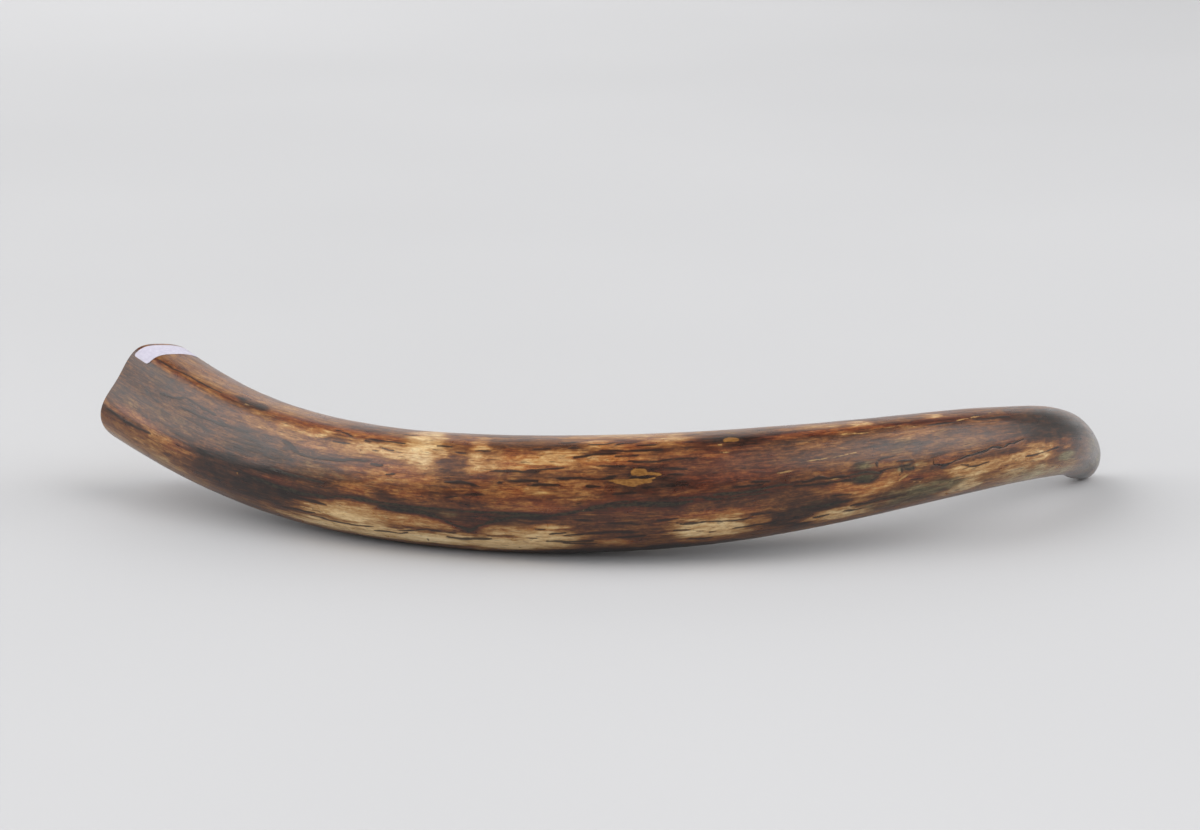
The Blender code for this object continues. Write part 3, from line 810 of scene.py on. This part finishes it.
def make_tusk():
    """The tusk: its marked and gently waved outside, rounded rim, blunt tip and flat sawn face."""
    inner_count = round((OUTER_SPAN[0] + 360 - OUTER_SPAN[1]) / INNER_STEP)
    outer = np.arange(OUTER_SPAN[0], OUTER_SPAN[1], OUTER_STEP)
    inner = np.linspace(OUTER_SPAN[1], OUTER_SPAN[0] + 360, inner_count, endpoint=False)
    around = np.concatenate((outer, inner))
    round_count = len(around)

    body_end = TUSK_LENGTH - TIP_ROUNDING
    bends = np.linspace(0, np.pi / 2, RIM_RINGS + 1)[:-1]
    closing = np.linspace(0, np.pi / 2, TIP_RINGS + 1)[1:-1]
    along = np.concatenate((RIM_ROUNDING * (1 - np.cos(bends)),
                            np.linspace(RIM_ROUNDING, body_end, BODY_RINGS),
                            body_end + TIP_ROUNDING * np.sin(closing)))
    inset = np.zeros(len(along))
    inset[:len(bends)] = RIM_ROUNDING * (1 - np.sin(bends))

    along, around = (grid.ravel() for grid in np.meshgrid(along, around, indexing="ij"))
    marks = markings(along * MM, around % 360)
    sunk = relief(along * MM, around, marks)
    points = surface(along, around, np.repeat(inset, round_count) + sunk)
    rim = points[:round_count]
    middle = rim.mean(axis=0)
    inward = [middle + (rim - middle) * (1 - ring / FACE_RINGS) for ring in range(1, FACE_RINGS)]
    tip = len(points)
    face_start = tip + 1
    points = np.vstack((points, surface(TUSK_LENGTH, 0.0), rim, *inward, middle))
    centre = len(points) - 1

    here = np.arange(round_count)
    following = np.roll(here, -1)
    bark_faces = closed_rings(0, tip, here, following)
    cut_faces = closed_rings(face_start, centre, following, here)
    which = [0] * len(bark_faces) + [1] * len(cut_faces)
    materials = (polished_bark(), sawn_ivory())
    made = make_object("polished_tusk", points, bark_faces + cut_faces, materials, which)

    reach = radius(along, around) * MM
    turn = np.radians(around)
    straightened = np.stack((along * MM, reach * np.cos(turn), reach * np.sin(turn)), axis=1)
    rest = len(points) - len(straightened)
    set_values(made, "straightened", np.vstack((straightened, np.zeros((rest, 3)))))
    for name, values in marks.items():
        set_values(made, name, np.concatenate((values, np.full(rest, -1.0))))
    across = unit(np.cross(AHEAD[0], (0.0, 0.0, 1.0)))
    upward = np.cross(across, AHEAD[0])
    off = (points - middle) * MM
    on_cut = np.stack((off @ across, off @ upward, np.zeros(len(points))), axis=1)
    share = np.zeros(len(points))
    share[face_start:centre] = np.repeat(np.arange(FACE_RINGS) / FACE_RINGS, round_count)
    share[centre] = 1.0
    set_values(made, "on_cut", on_cut)
    set_values(made, "depth", share * np.linalg.norm(rim - middle, axis=1).mean() * MM)
    return made


def label_point(across, length, height):
    """A point over the tusk: across the label's width, along its length, and off the surface."""
    along = LABEL_FROM_CUT + LABEL_WIDTH / 2 + across
    around = LABEL_START_ANGLE + np.degrees(length / ROOT_RADIUS)
    point = surface(along, around)
    forward = surface(along + NUDGE, around) - point
    sideways = surface(along, around + np.degrees(NUDGE / ROOT_RADIUS)) - point
    outward = unit(np.cross(forward, sideways))
    return point + np.asarray(height)[..., None] * outward


def make_label():
    """The paper label: thin, round-cornered, following the ivory, with one corner lifting."""
    bends = np.linspace(0, np.pi / 2, LABEL_CORNER_COLUMNS + 1)[:-1]
    corner = LABEL_CORNER * (1 - np.cos(bends))
    between = np.linspace(LABEL_CORNER, LABEL_LENGTH - LABEL_CORNER, LABEL_COLUMNS)
    lengths = np.concatenate((corner, between, (LABEL_LENGTH - corner)[::-1]))
    from_end = np.minimum(lengths, LABEL_LENGTH - lengths)
    short = np.maximum(LABEL_CORNER - from_end, 0.0)
    half = LABEL_WIDTH / 2 - LABEL_CORNER + np.sqrt(LABEL_CORNER ** 2 - short ** 2)
    wide, tall = LABEL_ROWS + 1, len(lengths)
    across = half[:, None] * np.linspace(-1, 1, wide)[None, :]
    length = np.repeat(lengths[:, None], wide, axis=1)
    from_corner = np.hypot(LABEL_WIDTH / 2 - across, length) / LABEL_LOOSE
    low = PAPER_CLEARANCE + LABEL_LIFT * np.clip(1 - from_corner, 0, 1) ** 2
    points = np.concatenate([label_point(across, length, low).reshape(-1, 3),
                             label_point(across, length, low + PAPER_THICKNESS).reshape(-1, 3)])
    layer = wide * tall
    faces = []
    for i in range(tall - 1):
        for a in range(i * wide, i * wide + LABEL_ROWS):
            b, c, d = a + 1, a + wide + 1, a + wide
            faces.append((a, b, c, d))
            faces.append((layer + d, layer + c, layer + b, layer + a))
    edge = [i * wide for i in range(tall)] + [(tall - 1) * wide + j for j in range(1, LABEL_ROWS)]
    edge += [i * wide + LABEL_ROWS for i in reversed(range(tall))] + list(reversed(range(1, LABEL_ROWS)))
    for a, b in zip(edge, edge[1:] + edge[:1]):
        faces.append((a, layer + a, layer + b, b))
    made = make_object("stuck_label", points, faces, (label_paper(),))
    tidy = bmesh.new()
    tidy.from_mesh(made.data)
    bmesh.ops.recalc_face_normals(tidy, faces=tidy.faces)
    tidy.to_mesh(made.data)
    tidy.free()
    made.data.set_sharp_from_angle(angle=math.radians(LABEL_SHARP_ANGLE))
    edge_gap = np.minimum(half[:, None] - np.abs(across), np.minimum(length, LABEL_LENGTH - length))
    flat = np.stack((across, length, edge_gap), axis=-1).reshape(-1, 3) * MM
    set_values(made, "on_label", np.vstack((flat, flat)))
    return made


def make_floor():
    """A wide flat floor."""
    points = FLOOR_HALF * np.array(((-1, -1, 0), (1, -1, 0), (1, 1, 0), (-1, 1, 0)))
    return make_object("floor", points, [(0, 1, 2, 3)], (studio_card(),))


def light(name, at, towards, size, power):
    """A soft square light, which isn't mirrored in the polish."""
    data = bpy.data.lights.new(name, "AREA")
    data.size = size
    data.energy = power
    made = put(name, data)
    made.location = at
    facing = mathutils.Vector(towards) - mathutils.Vector(at)
    made.rotation_euler = facing.to_track_quat("-Z", "Y").to_euler()
    made.visible_glossy = False


def light_the_room():
    """A pale studio that lights the card evenly from all round, brighter from some sides."""
    world = bpy.data.worlds.new("studio")
    bpy.context.scene.world = world
    world.use_nodes = True
    tree = world.node_tree
    facing = add(tree, "TexCoord").outputs["Generated"]
    parts = add(tree, "SeparateXYZ", (facing,))
    wall = add(tree, "MapRange", (parts.outputs["Z"], *WALL_FADE, WALL_BRIGHTNESS, 0.0), **SMOOTH)
    total = add(tree, "Math", (ROOM_BRIGHTNESS, wall))
    for towards, inner, outer, brightness in SOFT_SIDES:
        middle = mathutils.Vector(towards).normalized()
        near = add(tree, "VectorMath", (facing, middle), operation="DOT_PRODUCT")
        side = add(tree, "MapRange", (near.outputs["Value"], math.cos(math.radians(outer)),
                                      math.cos(math.radians(inner)), 0.0, brightness), **SMOOTH)
        total = add(tree, "Math", (total, side))
    feed(tree, tree.nodes["Background"], {"Strength": total, "Color": colour(ROOM_TINT)})
    for fill in FILLS:
        light(*fill)


def set_camera():
    """The camera, level from side to side and looking a little down."""
    data = bpy.data.cameras.new("camera")
    data.lens = CAMERA_LENS
    data.sensor_width = SENSOR_WIDTH
    data.sensor_fit = "HORIZONTAL"
    made = put("camera", data)
    made.location = CAMERA_AT
    made.rotation_euler = (math.radians(90 - CAMERA_DOWN), 0.0, 0.0)
    bpy.context.scene.camera = made


bpy.context.scene.view_settings.view_transform = "Standard"
tusk = make_tusk()
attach(tusk, "root")
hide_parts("tusk")
label = make_label()
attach(label, "root")
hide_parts("paper_label")
make_floor()
light_the_room()
set_camera()
